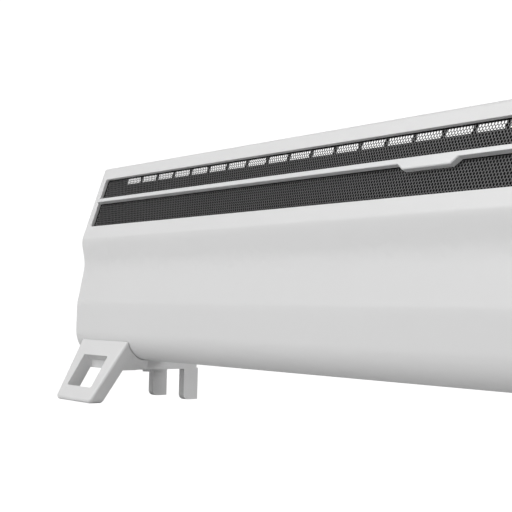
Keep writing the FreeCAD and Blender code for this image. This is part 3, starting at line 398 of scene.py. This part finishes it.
def perforated_sheet(name, low, high, solid_low, solid_high):
    """Staggered holes between the heights low and high, and plain strips out to the limits painted black as
    shade.
    """
    grille_low, grille_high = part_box("outlet_grille")
    half = (grille_high.x - grille_low.x) / 2
    columns = int((2 * half - 2 * GRILLE_MARGIN - 2 * SHADOW_BORDER) / HOLE_PITCH)
    rows = int(round((high - low) / HOLE_ROW))
    row_height = (high - low) / rows
    start = -columns * HOLE_PITCH / 2
    vertices, faces, known = [], [], {}

    def spot(x, y):
        key = (round(x * 1e7), round(y * 1e7))
        if key not in known:
            known[key] = len(vertices)
            vertices.append(on_slope(x, y, GRILLE_DEPTH))
        return known[key]

    def cell(x, y, wide, tall):
        outer = [spot(*p) for p in ring_of_eight(x, y, wide, tall, 1)]
        hole = ring_of_eight(x, y, HOLE_HALF_WIDE, HOLE_HALF_TALL, HOLE_FLAT)
        inner = [spot(*p) for p in hole]
        for i in range(8):
            j = (i + 1) % 8
            faces.append((outer[i], outer[j], inner[j], inner[i]))

    def plain(x0, x1, y0, y1):
        middle = (y0 + y1) / 2
        ring = [spot(x0, y0), spot(x1, y0), spot(x1, middle), spot(x1, y1), spot(x0, y1), spot(x0, middle)]
        faces.append(ring)

    for row in range(rows):
        middle = low + (row + 0.5) * row_height
        shifted = row % 2
        for i in range(columns - shifted):
            x = start + (i + 0.5 + shifted / 2) * HOLE_PITCH
            cell(x, middle, HOLE_PITCH / 2, row_height / 2)
        if shifted:
            plain(start, start + HOLE_PITCH / 2, middle - row_height / 2, middle + row_height / 2)
            plain(-start - HOLE_PITCH / 2, -start, middle - row_height / 2, middle + row_height / 2)

    holed_faces = len(faces)
    for edge, limit in ((low, solid_low), (high, solid_high)):
        for i in range(2 * columns):
            x0 = start + i * HOLE_PITCH / 2
            x1 = start + (i + 1) * HOLE_PITCH / 2
            y0, y1 = sorted((edge, limit))
            faces.append([spot(x0, y0), spot(x1, y0), spot(x1, y1), spot(x0, y1)])
    for side in (-1, 1):
        x0, x1 = sorted((side * -start, side * half))
        levels = [solid_low] + [low + i * row_height / 2 for i in range(2 * rows + 1)] + [solid_high]
        for y0, y1 in zip(levels, levels[1:]):
            faces.append([spot(x0, y0), spot(x1, y0), spot(x1, y1), spot(x0, y1)])

    sheet = mesh_object(name, vertices, faces, "grille_metal")
    # Painted shadow gap: the plain strips round the holed field take the near-black material
    sheet.data.materials.append(MATERIALS["dark_metal"])
    for face in sheet.data.polygons[holed_faces:]:
        face.material_index = 1
    thick = sheet.modifiers.new("sheet_thickness", "SOLIDIFY")
    thick.thickness = GRILLE_THICK
    thick.offset = -1.0
    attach(sheet, "casing")
    return sheet


def outlet_grille():
    """Perforated sheet in two fields, parted behind the trim bar."""
    lap = WINDOW_HALF + GRILLE_MARGIN
    top = WINDOW_HALF - SHADOW_BORDER
    bottom = SHADOW_BORDER / 2 - WINDOW_HALF
    upper = perforated_sheet("grille_upper", TRIM_MID + TRIM_COVER / 2, top, TRIM_MID, lap)
    under_trim = TRIM_MID - TRIM_COVER / 2 - SHADOW_BORDER
    lower = perforated_sheet("grille_lower", bottom, under_trim, -lap, TRIM_MID)
    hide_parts("outlet_grille")
    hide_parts("outlet_grille")


def tube_along(name, points, radius, material, sides=20):
    """A round cord swept along points, with closed ends and no twist."""
    vertices, faces = [], []
    normal = None
    for i, point in enumerate(points):
        before, after = points[max(i - 1, 0)], points[min(i + 1, len(points) - 1)]
        way = (after - before).normalized()
        if normal is None:
            normal = way.orthogonal().normalized()
        normal = (normal - way * normal.dot(way)).normalized()
        across = way.cross(normal)
        for k in range(sides):
            turn = 2 * math.pi * k / sides
            vertices.append(point + (normal * math.cos(turn) + across * math.sin(turn)) * radius)
    for i in range(len(points) - 1):
        for k in range(sides):
            j = (k + 1) % sides
            faces.append((i * sides + k, i * sides + j, (i + 1) * sides + j, (i + 1) * sides + k))
    faces.append(tuple(reversed(range(sides))))
    last = (len(points) - 1) * sides
    faces.append(tuple(last + k for k in range(sides)))
    return mesh_object(name, vertices, faces, material, smooth=True)


def smooth_path(corners, steps):
    """Catmull-Rom curve through the corners."""
    points = []
    for i in range(len(corners) - 1):
        a = corners[max(i - 1, 0)]
        b, c = corners[i], corners[i + 1]
        d = corners[min(i + 2, len(corners) - 1)]
        for k in range(steps):
            t = k / steps
            square = (2 * a - 5 * b + 4 * c - d) * t * t
            cube = (3 * b - a - 3 * c + d) * t ** 3
            points.append(0.5 * (2 * b + (c - a) * t + square + cube))
    points.append(corners[-1])
    return points


def racetrack(share, centre, half, radius):
    """Point of the flat-sided loop at a share of one turn, starting at the top right, going left."""
    straight, arc = 2 * half, math.pi * radius
    travel = (share % 1.0) * 2 * (straight + arc)
    if travel < straight:
        return centre.x + half - travel, centre.z + radius
    travel -= straight
    if travel < arc:
        turn = math.pi / 2 + travel / radius
        return centre.x - half + radius * math.cos(turn), centre.z + radius * math.sin(turn)
    travel -= arc
    if travel < straight:
        return centre.x - half + travel, centre.z - radius
    turn = -math.pi / 2 + (travel - straight) / radius
    return centre.x + half + radius * math.cos(turn), centre.z + radius * math.sin(turn)


def power_cord():
    """The cord leaves the gland, winds four turns into a flat bundle and runs on to the plug."""
    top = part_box("power_cord")[1].z
    gland_low, gland_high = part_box("cord_gland")
    tie_low, tie_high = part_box("cord_tie")
    plug_low, plug_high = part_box("plug_body")
    radius, half = COIL_RADIUS, COIL_HALF
    centre = Vector(((tie_low.x + tie_high.x) / 2, 0, top - radius - CORD_R))
    near = tie_low.y + TIE_THICK + CORD_R
    far = tie_high.y - TIE_THICK - CORD_R
    outlet = Vector(((gland_low.x + gland_high.x) / 2, gland_low.y, (gland_low.z + gland_high.z) / 2))
    plug_y = (plug_low.y + plug_high.y) / 2
    lead = [
        outlet,
        Vector((outlet.x, gland_high.y - 4 * MM, outlet.z)),
        Vector((outlet.x - 3 * MM, gland_high.y + 5 * MM, outlet.z + 6 * MM)),
        Vector((outlet.x - 24 * MM, gland_high.y + 4 * MM, outlet.z + 34 * MM)),
        Vector((centre.x + half + 30 * MM, near + 2 * MM, centre.z + radius - 6 * MM)),
        Vector((centre.x + half, near, centre.z + radius)),
    ]
    coil = []
    total = TURNS * TURN_POINTS
    for i in range(1, total + 1):
        share = i / TURN_POINTS
        x, z = racetrack(share, centre, half, radius)
        coil.append(Vector((x, near + (far - near) * i / total, z)))
    end = coil[-1]
    stop = plug_high.x - 10 * MM
    tail = [
        end.lerp(Vector((stop, end.y, end.z)), share)
        + Vector((0, (plug_y - end.y) * (3 * share ** 2 - 2 * share ** 3), 0))
        for share in [k / 16 for k in range(1, 17)]
    ]
    cord = tube_along("wound_cord", smooth_path(lead, 12) + coil + tail, CORD_R, "cord_rubber")
    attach(cord, "casing")
    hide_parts("power_cord")


def lathe(name, profile, axis_y, axis_z, material, sides=64):
    """Turns a profile of (x, radius) round a line along X."""
    vertices, faces = [], []
    for x, radius in profile:
        for k in range(sides):
            turn = 2 * math.pi * k / sides
            vertices.append((x, axis_y + radius * math.cos(turn), axis_z + radius * math.sin(turn)))
    for i in range(len(profile) - 1):
        for k in range(sides):
            j = (k + 1) % sides
            faces.append((i * sides + k, (i + 1) * sides + k, (i + 1) * sides + j, i * sides + j))
    faces.append(tuple(range(sides)))
    last = (len(profile) - 1) * sides
    faces.append(tuple(reversed([last + k for k in range(sides)])))
    return mesh_object(name, vertices, faces, material, smooth=True)


def plug():
    """Moulded plug: ribbed strain relief, waisted grip and a flat pin face."""
    low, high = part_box("plug_body")
    axis_y, axis_z = (low.y + high.y) / 2, (low.z + high.z) / 2
    biggest = (high.z - low.z) / 2
    length = high.x - low.x
    profile = []
    ribs = 5
    relief = 0.36 * length
    for i in range(ribs * 8 + 1):
        share = i / (ribs * 8)
        groove = 0.5 * MM * (1 - math.cos(2 * math.pi * ribs * share))
        profile.append((high.x - relief * share, 4.9 * MM + 3.6 * MM * share - groove * 0.6))
    for i in range(1, 13):
        share = i / 12
        swell = 3 * share ** 2 - 2 * share ** 3
        grow = (biggest - 8.5 * MM) * swell
        profile.append((high.x - relief - 0.34 * length * share, 8.5 * MM + grow))
    rim = 1.5 * MM
    for i in range(7):
        turn = i / 6 * math.pi / 2
        profile.append((low.x + rim - rim * math.sin(turn), biggest - rim + rim * math.cos(turn)))
    body = lathe("plug_shell", profile, axis_y, axis_z, "cord_rubber")
    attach(body, "casing")
    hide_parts("plug_body")


def arc(start, end, radius, steps=28):
    """Points along a circle between two angles in degrees."""
    turns = [math.radians(start + (end - start) * i / steps) for i in range(steps + 1)]
    return [(radius * math.cos(turn), radius * math.sin(turn)) for turn in turns]


def raised_strokes(name, strokes, node, body):
    """Thin raised lines on a key's face, each stroke a path of (depth, height) from its centre."""
    low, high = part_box(node)
    centre = (low + high) / 2
    vertices, faces = [], []
    for path in strokes:
        base = len(vertices)
        points = [Vector(point) * MM for point in path]
        for i, point in enumerate(points):
            way = (points[min(i + 1, len(points) - 1)] - points[max(i - 1, 0)]).normalized()
            side = Vector((-way.y, way.x)) * MARK_HALF
            for x in (high.x - MARK_SUNK, high.x + MARK_PROUD):
                for edge in (point + side, point - side):
                    vertices.append((x, centre.y + edge.x, centre.z + edge.y))
        for i in range(len(points) - 1):
            a, b = base + 4 * i, base + 4 * i + 4
            for p, q in ((0, 1), (1, 3), (3, 2), (2, 0)):
                faces.append((a + p, a + q, b + q, b + p))
        last = base + 4 * (len(points) - 1)
        faces.append((base, base + 2, base + 3, base + 1))
        faces.append((last, last + 1, last + 3, last + 2))
    mark = mesh_object(name, vertices, faces, "dark_plastic")
    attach(mark, body)


def key_marks():
    """Plain signs on the five keys: on and off, mode, timer, less and more."""
    wave = [(0.2 * i - 2.2, 0.8 * math.sin(i * math.pi / 5.5)) for i in range(23)]
    signs = {
        "power": [arc(125, 415, 2.2), [(0, 0.6), (0, 2.9)]],
        "mode": [wave],
        "timer": [arc(92, 448, 2.4), [(0, 1.5), (0, 0), (1.2, -0.5)]],
        "minus": [[(-2, 0), (2, 0)]],
        "plus": [[(-2, 0), (2, 0)], [(0, 0.3), (0, 2)], [(0, -0.3), (0, -2)]],
    }
    for key, strokes in signs.items():
        raised_strokes(key + "_mark", strokes, key + "_button", key + "_key")


# ---------------------------------------------------------------- stage, light and camera

def plain_white(name, seen, albedo):
    """Bright to the camera and an ordinary pale surface to every other ray."""
    material, tree, shader = new_material(name)
    shader.inputs["Base Color"].default_value = (albedo, albedo, albedo, 1.0)
    shader.inputs["Roughness"].default_value = 0.9
    ray = add(tree, "ShaderNodeLightPath")
    glow = add(tree, "ShaderNodeEmission")
    glow.inputs["Strength"].default_value = seen
    mix = add(tree, "ShaderNodeMixShader")
    output = tree.nodes["Material Output"]
    tree.links.new(ray.outputs["Is Camera Ray"], mix.inputs["Fac"])
    tree.links.new(shader.outputs["BSDF"], mix.inputs[1])
    tree.links.new(glow.outputs["Emission"], mix.inputs[2])
    tree.links.new(mix.outputs["Shader"], output.inputs["Surface"])
    return material


def floor():
    size = 12.0
    corners = [(x * size, y * size, FLOOR_Z) for x, y in ((-1, -1), (1, -1), (1, 1), (-1, 1))]
    mesh = bpy.data.meshes.new("floor")
    mesh.from_pydata(corners, [], [(0, 1, 2, 3)])
    made = bpy.data.objects.new("floor", mesh)
    bpy.context.scene.collection.objects.link(made)
    mesh.materials.append(plain_white("floor_white", SEEN_WHITE, FLOOR_ALBEDO))


def studio_world():
    world = bpy.data.worlds.new("studio")
    bpy.context.scene.world = world
    bpy.context.scene.view_settings.view_transform = "Standard"
    world.use_nodes = True
    tree = world.node_tree
    back = tree.nodes["Background"]
    back.inputs["Color"].default_value = (1, 1, 1, 1)
    ray = add(tree, "ShaderNodeLightPath")
    level = add(tree, "ShaderNodeMapRange")
    level.inputs["To Min"].default_value = WORLD_LIGHT
    level.inputs["To Max"].default_value = SEEN_WHITE
    tree.links.new(ray.outputs["Is Camera Ray"], level.inputs["Value"])
    tree.links.new(level.outputs["Result"], back.inputs["Strength"])


def soft_light(name, spot, target, size, power):
    data = bpy.data.lights.new(name, "AREA")
    data.shape = "RECTANGLE"
    data.size, data.size_y = size
    data.energy = power
    made = bpy.data.objects.new(name, data)
    bpy.context.scene.collection.objects.link(made)
    made.location = spot
    made.rotation_mode = "QUATERNION"
    made.rotation_quaternion = (Vector(target) - Vector(spot)).to_track_quat("-Z", "Y")


def camera():
    turn, pitch, roll = CAMERA_TURN, CAMERA_PITCH, CAMERA_ROLL
    ahead = Vector((-math.sin(turn) * math.cos(pitch), math.cos(turn) * math.cos(pitch), math.sin(pitch)))
    level_right = Vector((math.cos(turn), math.sin(turn), 0))
    level_up = level_right.cross(ahead)
    right = math.cos(roll) * level_right + math.sin(roll) * level_up
    up = math.cos(roll) * level_up - math.sin(roll) * level_right
    data = bpy.data.cameras.new("camera")
    data.sensor_width = 36.0
    data.lens = CAMERA_LENS
    data.clip_start = 0.01
    data.clip_end = 60.0
    made = bpy.data.objects.new("camera", data)
    bpy.context.scene.collection.objects.link(made)
    basis = Matrix((right, up, -ahead)).transposed().to_4x4()
    made.matrix_world = Matrix.Translation(CAMERA_SPOT) @ basis
    bpy.context.scene.camera = made


dress_cad_nodes()
outlet_grille()
power_cord()
plug()
key_marks()
floor()
studio_world()
soft_light("key_light", (-1.3, -2.3, 2.3), (-0.1, 0, 0.15), (1.8, 1.4), 42.0)
soft_light("front_light", (0.2, -2.8, 1.1), (0, 0, 0.15), (3.4, 0.6), 26.0)
soft_light("top_light", (0.0, -0.3, 2.6), (0, 0, 0.1), (3.0, 1.2), 11.0)
soft_light("rear_light", (1.0, 2.4, 1.6), (0, 0, 0.15), (2.5, 1.5), 30.0)
soft_light("right_light", (2.6, 0.5, 1.0), (0.4, 0, 0.15), (1.2, 1.2), 11.0)
camera()
